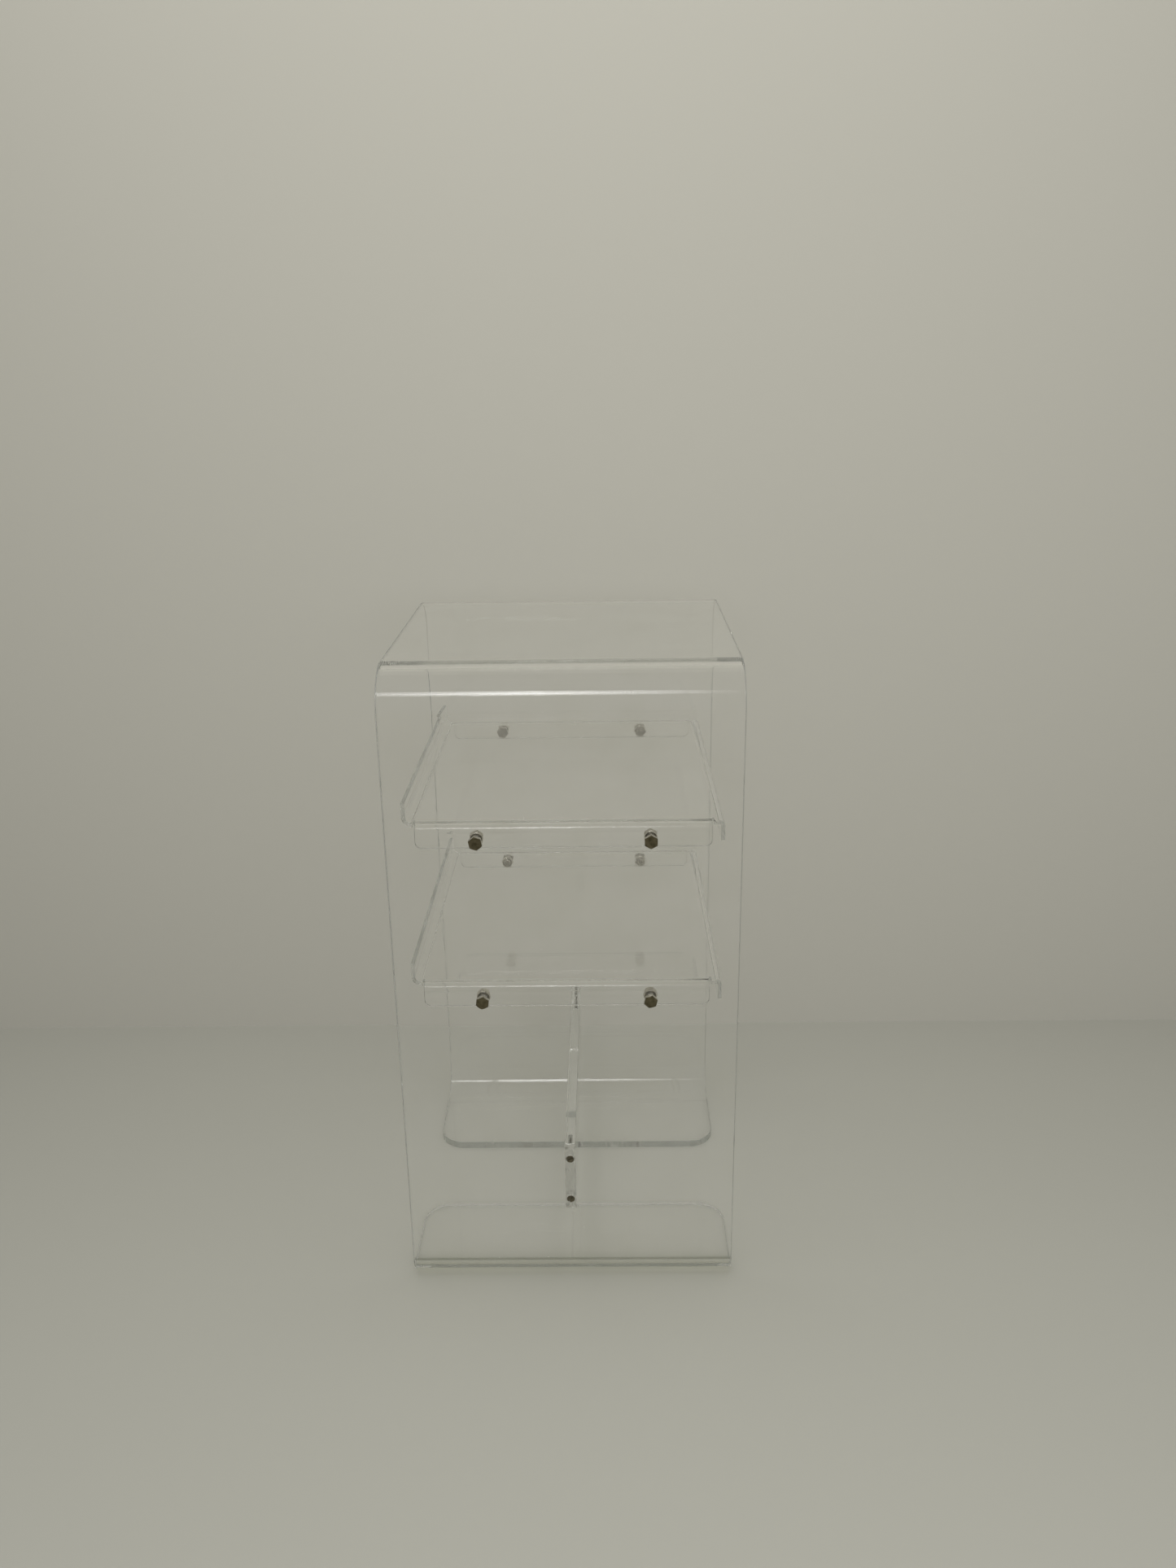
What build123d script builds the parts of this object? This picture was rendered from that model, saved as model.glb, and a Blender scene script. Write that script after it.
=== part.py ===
"""A clear acrylic magazine rack: a bent shell, two bolted shelves and a stretcher.

Millimetres. +X is to the right of someone facing the rack, +Y runs from the front panel to the back
panel and +Z is up. The origin is on the floor, under the middle of the rack.
"""
import os

from build123d import *

# The shell is one bent sheet; its bend radii are outside ones
WIDTH = 360.0
DEPTH = 393.0
HEIGHT = 707.0
SHELL_SHEET = 9.0
TOP_BEND = 46.0
BACK_BEND = 46.0
FRONT_BEND = 22.0
FRONT_FOOT = 122.0
BACK_FOOT = 146.0
FOOT_CORNER = 32.0

# Each shelf is a thinner bent sheet between the two panels
SHELF_SHEET = 4.0
SHELF_HALF_WIDTH = 163.0
SHELF_OVER_BOLTS = 17.0
FLANGE_UNDER_BOLTS = 9.5
FLANGE_HALF_WIDTH = 150.0
FLANGE_BEND = 10.5
FLANGE_CORNER = 7.0
RISE_BEND = 10.0
LIP_RISE = 21.0
DROP_BEND = 6.5
LIP_DROP = 22.0
LIP_END_GAP = 5.0

# M8 hexagon bolts and nuts hold the shelves
BOLT_HEIGHTS = {"upper": 531.0, "lower": 352.0}
BOLT_OUT = 88.0
BOLT_DIAMETER = 8.0
BOLT_LENGTH = 20.0
BOLT_HOLE = 8.4
HEX_FLATS = 13.0
HEX_CORNERS = 15.01
HEX_FACE = 12.4
HEX_CHAMFER_RISE = 0.75
HEAD_HEIGHT = 5.3
NUT_HEIGHT = 6.5
NUT_BORE = 8.1
BOLT_TIP_CHAMFER = 0.9

# How far each head and nut was left turned from upright, in degrees
HEAD_TURN = {
    "upper_front_left": -10.0,
    "upper_front_right": 0.0,
    "upper_back_left": -21.0,
    "upper_back_right": -25.0,
    "lower_front_left": 7.0,
    "lower_front_right": 13.0,
    "lower_back_left": -16.0,
    "lower_back_right": 9.0,
}
NUT_TURN = {
    "upper_front_left": 4.0,
    "upper_front_right": -3.0,
    "upper_back_left": 12.0,
    "upper_back_right": -20.0,
    "lower_front_left": -14.0,
    "lower_front_right": 22.0,
    "lower_back_left": 24.0,
    "lower_back_right": 0.0,
}

# M5 slotted countersunk screws hold the stretcher
BAR_SHEET = 12.0
BAR_LOW = 88.0
BAR_HEIGHT = 84.0
SCREW_SPREAD = 52.0
SCREW_DIAMETER = 5.0
SCREW_HEAD = 9.0
SCREW_CONE = 2.0
SCREW_LENGTH = 30.0
SCREW_SLOT = 1.2
SCREW_SLOT_DEPTH = 1.1
SCREW_GAP = 0.05
SCREW_HOLE = 5.4
SLOT_TURN = {
    "front_upper": -25.0,
    "front_lower": -60.0,
    "back_upper": -35.0,
    "back_lower": 80.0,
}

# Worked out from the sizes above
FRONT_FACE = -DEPTH / 2
BACK_FACE = DEPTH / 2
FRONT_INSIDE = FRONT_FACE + SHELL_SHEET
BACK_INSIDE = BACK_FACE - SHELL_SHEET
SPAN = BACK_INSIDE - FRONT_INSIDE
SCREW_MIDDLE = BAR_LOW + BAR_HEIGHT / 2
SCREW_HEIGHTS = {
    "upper": SCREW_MIDDLE + SCREW_SPREAD / 2,
    "lower": SCREW_MIDDLE - SCREW_SPREAD / 2,
}
BOLT_SIDES = {"left": -BOLT_OUT, "right": BOLT_OUT}

ALONG_Y = Rot(-90, 0, 0)
AGAINST_Y = Rot(90, 0, 0)
STANDING = (Align.CENTER, Align.CENTER, Align.MIN)


def cross_cylinder(x, z, y_from, y_to, diameter):
    """A round rod along Y, for a hole through a panel, a flange or the end of the bar."""
    length = y_to - y_from
    rod = Cylinder(diameter / 2, length, align=STANDING)
    return Pos(x, y_from, z) * ALONG_Y * rod


def shell_line(inset):
    """The shell's side view as one rounded line, set in from the outside by the given amount."""
    front = FRONT_FACE + inset
    back = BACK_FACE - inset
    top = HEIGHT - inset
    points = [
        (FRONT_FACE + FRONT_FOOT, inset),
        (front, inset),
        (front, top),
        (back, top),
        (back, inset),
        (BACK_FACE - BACK_FOOT, inset),
    ]
    radii = [bend - inset for bend in (FRONT_BEND, TOP_BEND, TOP_BEND, BACK_BEND)]
    return FilletPolyline(*points, radius=radii)


def make_shell():
    """Front foot, front panel, top, back panel and back foot, bent from one sheet."""
    outside = shell_line(0)
    inside = shell_line(SHELL_SHEET)
    ends = [Line(outside @ 0, inside @ 0), Line(outside @ 1, inside @ 1)]
    section = make_face(outside.edges() + inside.edges() + ends)
    shell = extrude(Plane.YZ * section, WIDTH / 2, both=True)
    upright_edges = shell.edges().filter_by(Axis.Z)
    foot_corners = upright_edges.filter_by(lambda edge: edge.length < 2 * SHELL_SHEET)
    shell = fillet(foot_corners, FOOT_CORNER)
    for z in BOLT_HEIGHTS.values():
        for x in BOLT_SIDES.values():
            shell -= cross_cylinder(x, z, FRONT_FACE, BACK_FACE, BOLT_HOLE)
    for z in SCREW_HEIGHTS.values():
        shell -= cross_cylinder(0, z, FRONT_FACE, BACK_FACE, SCREW_HOLE)
        shell -= Pos(0, FRONT_FACE, z) * ALONG_Y * screw_head(SCREW_GAP)
        shell -= Pos(0, BACK_FACE, z) * AGAINST_Y * screw_head(SCREW_GAP)
    return shell


def bent_strip(plane, radius, leg, length):
    """A quarter bend with a straight leg after it, starting flat at the plane's origin.

    In the plane's own view the sheet arrives from the left with its outside on the x axis, bends
    down and ends in the leg. The strip is centred on the plane.
    """
    inner = radius - SHELF_SHEET
    arriving = Line((0, 0), (0, -SHELF_SHEET))
    outside = RadiusArc((0, 0), (radius, -radius), radius)
    inside = RadiusArc((0, -SHELF_SHEET), (inner, -radius), inner)
    outer_leg = Line((radius, -radius), (radius, -leg))
    inner_leg = Line((inner, -radius), (inner, -leg))
    free_edge = Line((radius, -leg), (inner, -leg))
    section = make_face([arriving, outside, inside, outer_leg, inner_leg, free_edge])
    return extrude(plane * section, length / 2, both=True)


def make_shelf(bolt_height):
    """A shelf with flanges turned down at front and back, a lip up on the left and down on the right."""
    top = bolt_height + SHELF_OVER_BOLTS
    flat_left = SHELF_HALF_WIDTH - RISE_BEND
    flat_right = SHELF_HALF_WIDTH - DROP_BEND
    flat_y = SPAN / 2 - FLANGE_BEND
    under = top - SHELF_SHEET
    flange = SHELF_OVER_BOLTS + FLANGE_UNDER_BOLTS
    lip_length = SPAN - 2 * LIP_END_GAP

    hung_from_top = (Align.MIN, Align.CENTER, Align.MAX)
    flat = Box(flat_left + flat_right, 2 * flat_y, SHELF_SHEET, align=hung_from_top)
    shelf = Pos(-flat_left, 0, top) * flat
    towards_back = Plane(origin=(0, flat_y, top), x_dir=(0, 1, 0), z_dir=(1, 0, 0))
    towards_front = Plane(origin=(0, -flat_y, top), x_dir=(0, -1, 0), z_dir=(-1, 0, 0))
    down_right = Plane(origin=(flat_right, 0, top), x_dir=(1, 0, 0), z_dir=(0, -1, 0))
    up_left = Plane(origin=(-flat_left, 0, under), x_dir=(-1, 0, 0), z_dir=(0, -1, 0))
    for plane in (towards_back, towards_front):
        strip = bent_strip(plane, FLANGE_BEND, flange, 2 * FLANGE_HALF_WIDTH)
        shelf += fillet(strip.edges().filter_by(Axis.Y), FLANGE_CORNER)
    shelf += bent_strip(down_right, DROP_BEND, LIP_DROP, lip_length)
    shelf += bent_strip(up_left, RISE_BEND, LIP_RISE + SHELF_SHEET, lip_length)
    for x in BOLT_SIDES.values():
        shelf -= cross_cylinder(x, bolt_height, FRONT_INSIDE, BACK_INSIDE, BOLT_HOLE)
    return shelf


def make_stretcher():
    """The bar on edge between the panels, with two tapped holes in each end."""
    bar = Pos(0, 0, BAR_LOW) * Box(BAR_SHEET, SPAN, BAR_HEIGHT, align=STANDING)
    depth = SCREW_LENGTH - SHELL_SHEET + SCREW_DIAMETER
    bore = SCREW_DIAMETER + 2 * SCREW_GAP
    for z in SCREW_HEIGHTS.values():
        bar -= cross_cylinder(0, z, FRONT_INSIDE, FRONT_INSIDE + depth, bore)
        bar -= cross_cylinder(0, z, BACK_INSIDE - depth, BACK_INSIDE, bore)
    return bar


def turned(points):
    """A round piece along Z, turned from its half section given as (radius, height) points."""
    return revolve(Plane.XZ * make_face(Polyline(*points, close=True)), Axis.Z)


def hexagon_block(height, low_chamfer):
    """A hexagonal block along Z with its corners turned off at the top, and at the foot if asked."""
    hexagon = RegularPolygon(HEX_FLATS / 2, 6, major_radius=False, rotation=30)
    face = HEX_FACE / 2
    corner = HEX_CORNERS / 2
    foot = [(face, 0), (corner, HEX_CHAMFER_RISE)] if low_chamfer else [(corner, 0)]
    crown = [(corner, height - HEX_CHAMFER_RISE), (face, height)]
    return extrude(hexagon, height) & turned([(0, 0)] + foot + crown + [(0, height)])


def make_bolt(turn):
    """An M8 bolt: the head stands below the origin and the shank runs up +Z from it."""
    head = Rot(180, 0, 0) * hexagon_block(HEAD_HEIGHT, low_chamfer=False)
    radius = BOLT_DIAMETER / 2
    tip = radius - BOLT_TIP_CHAMFER
    shoulder = BOLT_LENGTH - BOLT_TIP_CHAMFER
    shank = turned([(0, 0), (radius, 0), (radius, shoulder), (tip, BOLT_LENGTH), (0, BOLT_LENGTH)])
    return Rot(0, 0, turn) * (head + shank)


def make_nut(turn):
    """An M8 nut, sitting on the origin and running up +Z."""
    bore = Cylinder(NUT_BORE / 2, NUT_HEIGHT, align=STANDING)
    return Rot(0, 0, turn) * (hexagon_block(NUT_HEIGHT, low_chamfer=True) - bore)


def screw_head(gap):
    """A countersunk head with its flat face on the origin, grown by the gap; the cone narrows up +Z."""
    wide = SCREW_HEAD / 2 + gap
    narrow = SCREW_DIAMETER / 2 + gap
    return turned([(0, 0), (wide, 0), (narrow, SCREW_CONE), (0, SCREW_CONE)])


def make_screw(turn):
    """An M5 slotted countersunk screw: the slotted face is on the origin and the shank runs up +Z."""
    shank = Cylinder(SCREW_DIAMETER / 2, SCREW_LENGTH, align=STANDING)
    slot = Box(2 * SCREW_HEAD, SCREW_SLOT, 2 * SCREW_SLOT_DEPTH)
    return (screw_head(0) + shank) - Rot(0, 0, turn) * slot


def make_bolted_joints():
    """Every bolt and nut, with the head outside the shell except at the back of the upper shelf."""
    pieces = {}
    through = SHELL_SHEET + SHELF_SHEET
    for level, z in BOLT_HEIGHTS.items():
        for side, x in BOLT_SIDES.items():
            for panel in ("front", "back"):
                place = f"{level}_{panel}_{side}"
                if panel == "front":
                    under_head, direction, way = FRONT_FACE, ALONG_Y, 1
                elif level == "upper":
                    under_head, direction, way = BACK_FACE - through, ALONG_Y, 1
                else:
                    under_head, direction, way = BACK_FACE, AGAINST_Y, -1
                under_nut = under_head + way * through
                bolt = Pos(x, under_head, z) * direction * make_bolt(HEAD_TURN[place])
                nut = Pos(x, under_nut, z) * direction * make_nut(NUT_TURN[place])
                pieces[place + "_bolt"] = bolt
                pieces[place + "_nut"] = nut
    return pieces


def make_screws():
    """Two screws into each end of the stretcher, with their heads flush in the panels."""
    pieces = {}
    for panel, face, direction in (("front", FRONT_FACE, ALONG_Y), ("back", BACK_FACE, AGAINST_Y)):
        for level, z in SCREW_HEIGHTS.items():
            place = f"{panel}_{level}"
            screw = make_screw(SLOT_TURN[place])
            pieces[f"stretcher_{place}_screw"] = Pos(0, face, z) * direction * screw
    return pieces


parts = {
    "shell": make_shell(),
    "upper_shelf": make_shelf(BOLT_HEIGHTS["upper"]),
    "lower_shelf": make_shelf(BOLT_HEIGHTS["lower"]),
    "stretcher": make_stretcher(),
}
parts.update(make_bolted_joints())
parts.update(make_screws())

os.makedirs("parts", exist_ok=True)
for name, part in parts.items():
    export_step(part, f"parts/{name}.step")
    print(f"{name}: {part.volume:.0f} cubic mm")
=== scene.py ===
# %% [markdown]
# # A clear acrylic magazine rack
# The rack is one thick sheet of clear acrylic, bent four times into a shell that stands on two turned-in
# feet. Two thinner bent shelves are bolted between its front and back panels, and a bar on edge is screwed
# between the panels near the floor. The imported model gives every piece its place: +X is to the right of
# someone who faces the front panel, +Y runs to the back panel and +Z is up. Loading it first means that
# nothing has to be fitted by eye later.

# %% Load the frame
import math

import bmesh
import bpy
from mathutils import Matrix, Vector
from mathutils.geometry import delaunay_2d_cdt


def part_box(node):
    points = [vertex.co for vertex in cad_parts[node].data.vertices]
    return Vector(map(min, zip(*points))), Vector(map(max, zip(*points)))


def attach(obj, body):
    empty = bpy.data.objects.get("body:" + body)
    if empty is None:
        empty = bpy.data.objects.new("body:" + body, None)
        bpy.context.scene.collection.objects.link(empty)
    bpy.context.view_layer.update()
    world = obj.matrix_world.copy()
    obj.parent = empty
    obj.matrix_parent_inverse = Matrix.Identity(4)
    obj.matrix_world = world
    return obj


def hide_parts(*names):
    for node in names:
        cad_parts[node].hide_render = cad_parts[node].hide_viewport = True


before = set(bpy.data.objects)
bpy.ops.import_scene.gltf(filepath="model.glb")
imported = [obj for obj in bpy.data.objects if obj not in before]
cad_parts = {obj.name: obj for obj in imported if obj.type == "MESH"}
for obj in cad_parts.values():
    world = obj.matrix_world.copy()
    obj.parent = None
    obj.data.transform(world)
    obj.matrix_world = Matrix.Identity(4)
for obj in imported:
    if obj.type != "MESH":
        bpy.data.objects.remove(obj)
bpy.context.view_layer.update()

MM = 0.001
print("frame:", len(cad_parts), "nodes")

# %% [markdown]
# ## Three small helpers for materials
# Colours are written as sRGB hex values, as a paint chart gives them, but shaders work in linear light, so
# one function turns the first into the second. A second function adds a node, gives it its settings and
# links what feeds it, so that each material below reads as a list of what it is made of. A third hands out
# an empty material to start from.

# %% Colour and node helpers
def linear(hex_colour):
    """An sRGB hex colour as the linear red, green, blue and alpha that a shader takes."""
    channels = [int(hex_colour[i:i + 2], 16) / 255 for i in (1, 3, 5)]
    light = [c / 12.92 if c <= 0.04045 else ((c + 0.055) / 1.055) ** 2.4 for c in channels]
    return (*light, 1.0)


def add_node(tree, kind, inputs=None, **settings):
    """A node of that kind; an input given as a socket is linked, and any other value is set."""
    node = tree.nodes.new("ShaderNode" + kind)
    for setting, value in settings.items():
        setattr(node, setting, value)
    for socket, value in (inputs or {}).items():
        if isinstance(value, bpy.types.NodeSocket):
            tree.links.new(value, node.inputs[socket])
        else:
            node.inputs[socket].default_value = value
    return node


def new_material(name):
    """An empty node material, its tree and its output."""
    material = bpy.data.materials.new(name)
    material.use_nodes = True
    tree = material.node_tree
    for node in list(tree.nodes):
        if node.type != "OUTPUT_MATERIAL":
            tree.nodes.remove(node)
    return material, tree, tree.nodes["Material Output"]


print("white paper as linear light:", [round(c, 3) for c in linear("#F2F0EA")])

# %% [markdown]
# ## The camera
# The camera stands a little above the top of the rack and looks down on it. Its place, tilt and lens were
# worked out from the rack's corners, bends and edges, which is surer than turning it by eye until the
# picture looks right. The picture is upright, so the sensor's 36 mm runs along its height.

# %% Set up the camera
EYE = Vector((42.6, -1369.2, 995.5)) * MM
LOOK_DOWN, LOOK_RIGHT, LEAN = (math.radians(a) for a in (19.004, -0.826, -0.838))
PICTURE_HEIGHT, FOCAL_PIXELS = 1927, 1547.4
SENSOR = 36.0

forward = Vector((math.sin(LOOK_RIGHT), math.cos(LOOK_RIGHT), 0))
right = Vector((math.cos(LOOK_RIGHT), -math.sin(LOOK_RIGHT), 0))
ahead = math.cos(LOOK_DOWN) * forward - math.sin(LOOK_DOWN) * Vector((0, 0, 1))
above = math.sin(LOOK_DOWN) * forward + math.cos(LOOK_DOWN) * Vector((0, 0, 1))
camera_x = math.cos(LEAN) * right + math.sin(LEAN) * above
camera_y = -math.sin(LEAN) * right + math.cos(LEAN) * above
camera_axes = Matrix((camera_x, camera_y, -ahead)).transposed().to_4x4()

camera = bpy.data.objects.new("camera", bpy.data.cameras.new("camera"))
camera.data.sensor_width = SENSOR
camera.data.lens = SENSOR * FOCAL_PIXELS / PICTURE_HEIGHT
camera.matrix_world = Matrix.Translation(EYE) @ camera_axes
scene = bpy.context.scene
scene.collection.objects.link(camera)
scene.camera = camera
scene.view_settings.view_transform = "Standard"
print("camera lens", round(camera.data.lens, 2), "mm")

# %% [markdown]
# ## The floor and the wall
# Clear acrylic has no colour of its own: it shows by its edges, which gather light from far to the side,
# and by the lamps that its bends mirror. So it stands on a plain pale floor before a plain pale wall. Walls
# all round would hide the rack from the other sides, so there is one, and it is clear from behind. The
# floor runs far out and fades, a good metre from the rack, into the tone of the room: its true horizon
# would be gathered by the edges too, and drawn as a dark line. It lies a hair below the feet, because two
# surfaces that share one place flicker.

# %% Lay the floor and the wall
FLOOR_HALF, FLOOR_GAP = 40.0, 0.2 * MM
WALL_Y, WALL_WIDTH, WALL_HEIGHT = 371 * MM, 3.0, 2.2
FLOOR_TONE, WALL_TONE, FAR_TONE = "#A9A89E", "#B5B3A9", "#A6A49A"
FADE_FROM, FADE_TO = 1.1, 2.1


def floor_paint():
    """Matt floor paint: it spreads light evenly, so shadows are soft and the rack has no mirror image."""
    material, tree, output = new_material("matt paint, rolled on a floor")
    coat = add_node(tree, "BsdfDiffuse", {"Color": linear(FLOOR_TONE)})
    place = add_node(tree, "TexCoord").outputs["Object"]
    away = add_node(tree, "VectorMath", {0: place}, operation="LENGTH")
    far = add_node(tree, "MapRange", {
        "Value": away.outputs["Value"], "From Min": FADE_FROM, "From Max": FADE_TO,
    }, interpolation_type="SMOOTHSTEP")
    haze = add_node(tree, "Emission", {"Color": linear(FAR_TONE)})
    faded = add_node(tree, "MixShader", {0: far.outputs[0], 1: coat.outputs[0], 2: haze.outputs[0]})
    tree.links.new(faded.outputs[0], output.inputs["Surface"])
    return material


def wall_paint():
    """Matt wall paint: an even pale ground with no gloss, which is clear from behind."""
    material, tree, output = new_material("matt paint, rolled on a wall")
    coat = add_node(tree, "BsdfDiffuse", {"Color": linear(WALL_TONE)})
    behind = add_node(tree, "NewGeometry").outputs["Backfacing"]
    clear = add_node(tree, "BsdfTransparent")
    one_sided = add_node(tree, "MixShader", {0: behind, 1: coat.outputs[0], 2: clear.outputs[0]})
    tree.links.new(one_sided.outputs[0], output.inputs["Surface"])
    return material


def stage_panel(name, corners, material):
    """A flat panel of the studio, which is not part of the rack."""
    mesh = bpy.data.meshes.new(name)
    mesh.from_pydata(corners, [], [(0, 1, 2, 3)])
    mesh.shade_smooth()
    mesh.materials.append(material)
    piece = bpy.data.objects.new(name, mesh)
    scene.collection.objects.link(piece)


round_square = ((-1, -1), (1, -1), (1, 1), (-1, 1))
floor_corners = [(x * FLOOR_HALF, y * FLOOR_HALF, -FLOOR_GAP) for x, y in round_square]
stage_panel("floor", floor_corners, floor_paint())
wall_corners = [(x * WALL_WIDTH / 2, WALL_Y, (z + 1) / 2 * WALL_HEIGHT) for x, z in round_square]
stage_panel("wall", wall_corners, wall_paint())
print("studio: wall", round(WALL_Y / MM), "mm behind the middle of the rack")

# %% [markdown]
# ## The lamps
# Three soft lamps light the rack. The key lamp is a long one in front and above. It alone may be mirrored,
# and it draws the light line along the top bend, so it is brightest in its middle and fades to its ends, as
# that line does. The other two fill in from the ceiling and from the front. They are kept out of mirror
# images, where they would draw lines that the bends don't show.

# %% Hang the lamps
def softbox(name, place, aim, width, height, watts, mirrored):
    """A flat soft lamp that faces a point; it stays out of view, and out of mirror images unless mirrored."""
    lamp = bpy.data.lights.new(name, "AREA")
    lamp.shape = "ELLIPSE"
    lamp.size = width
    lamp.size_y = height
    lamp.energy = watts
    holder = bpy.data.objects.new(name, lamp)
    scene.collection.objects.link(holder)
    towards = (Vector(aim) - Vector(place)).to_track_quat("-Z", "Y")
    holder.matrix_world = Matrix.Translation(place) @ towards.to_matrix().to_4x4()
    holder.visible_camera = False
    holder.visible_glossy = mirrored
    holder.visible_transmission = mirrored
    return lamp


key_lamp = softbox("key lamp", place=(-0.165, -1.51, 1.96), aim=(0.0, -0.19, 0.69),
                   width=1.15, height=0.24, watts=5.8, mirrored=True)
softbox("ceiling lamp", place=(-0.05, 0.0, 2.4), aim=(-0.05, 0.0, 0),
        width=1.8, height=1.8, watts=21.2, mirrored=False)
softbox("front lamp", place=(0.25, -2.0, 1.35), aim=(0.22, 0.37, 0.62),
        width=1.4, height=1.1, watts=22.5, mirrored=False)

# A place on the lamp runs from 0 to 1 across it, and here from -1 to 1, so that its middle is 0.
key_lamp.use_nodes = True
tree = key_lamp.node_tree
spot = add_node(tree, "NewGeometry").outputs["Parametric"]
across = add_node(tree, "Mapping", {"Vector": spot, "Location": (-1, 0, 0), "Scale": (2, 0, 0)})
fade = add_node(tree, "TexGradient", {"Vector": across.outputs[0]}, gradient_type="SPHERICAL")
tree.links.new(fade.outputs[1], tree.nodes["Emission"].inputs["Strength"])

# %% [markdown]
# ## The light of the room
# Pale surfaces all round a room send soft light from every side, and the world stands in for them. Where it
# is seen, straight or through the sheets, it has the tone that the floor fades into. To every other ray it
# is plain white light. Light that enters a sheet by its edge is mirrored many times inside before it gets
# out, so far more bounces are allowed than for solid things. The bright patches that bent light throws on a
# floor are left out: they would add more noise than they show.

# %% Light the room
ROOM_LIGHT = 0.41
MIRRORED_TIMES, PASSED_TIMES = 200, 64

world = bpy.data.worlds.new("pale room")
world.use_nodes = True
tree = world.node_tree
light = tree.nodes["Background"]
light.inputs["Color"].default_value = linear("#FFFFFF")
light.inputs["Strength"].default_value = ROOM_LIGHT
seen = add_node(tree, "Background", {"Color": linear(FAR_TONE)})
ray = add_node(tree, "LightPath")
through = add_node(tree, "MixShader", {
    0: ray.outputs["Is Transmission Ray"], 1: light.outputs[0], 2: seen.outputs[0]})
room = add_node(tree, "MixShader", {
    0: ray.outputs["Is Camera Ray"], 1: through.outputs[0], 2: seen.outputs[0]})
tree.links.new(room.outputs[0], tree.nodes["World Output"].inputs["Surface"])
scene.world = world

scene.cycles.max_bounces = MIRRORED_TIMES
scene.cycles.glossy_bounces = MIRRORED_TIMES
scene.cycles.transmission_bounces = PASSED_TIMES
scene.cycles.transparent_max_bounces = PASSED_TIMES
scene.cycles.caustics_reflective = False
scene.cycles.caustics_refractive = False
print("room:", world.name, "with light of", ROOM_LIGHT)

# %% [markdown]
# ## Clear cast acrylic
# Acrylic sheet is cast between plates of glass, so its faces are as glossy as they are. It bends light a
# little less than glass does, and only a long way through it takes a trace of grey. Handling leaves hairlines
# and dull patches, which show where a lamp is mirrored and vanish at a glancing angle, where every surface
# turns to a mirror. The edges are sawn. Polishing leaves some of the saw marks, so an edge is a little rough
# and scatters part of the light. Light on its way to the floor and the wall goes straight through, dimmed
# only where a sheet is edge on: bending it would change the soft shadows very little and make them noisy.

# %% Choose the sizes of the marks on acrylic
ACRYLIC_IOR = 1.49
DEPTH_TINT, DEPTH_DENSITY = "#E3E5E2", 1.0
# Real hairlines and saw marks are a few tenths of a millimetre apart. They are drawn coarser to show at all.
HAIRLINE_GAP, HAIRLINE_LENGTH = 7 * MM, 110 * MM
SAW_MARK = 1.2 * MM
# The width of a mark is a share of the gap, and the marks run askew to the edges of the sheet.
MARK_WIDTH, MARK_DEPTH, MARK_STRENGTH = 0.03, 0.05 * MM, 0.1
MARK_TURN = (0.35, 0.5, 0.2)
# A dull patch sets in where its noise passes the first level and is full at the second. Between marks it
# has this share of their dullness.
DULL_PATCH, DULL_FROM, DULL_TO = 55 * MM, 0.45, 0.75
DULL_SHARE, DULL_TINT = 0.35, "#FDFDFC"
SWELL_LENGTH, SWELL_HEIGHT, SWELL_STRENGTH = 90 * MM, 0.15 * MM, 0.25
# Facing is 0 where the surface is met square on and 1 where it is only grazed.
GLANCE_FROM, GLANCE_TO = 0.5, 0.85
EDGE_ON_FROM, EDGE_ON_TONE = 0.65, "#D4D4CE"
hairlines = (1 / HAIRLINE_GAP, 1 / HAIRLINE_GAP, 1 / HAIRLINE_LENGTH)
saw_marks = (1 / SAW_MARK,) * 3
print("marks to the metre:", [round(v) for v in hairlines], [round(v) for v in saw_marks])

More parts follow.
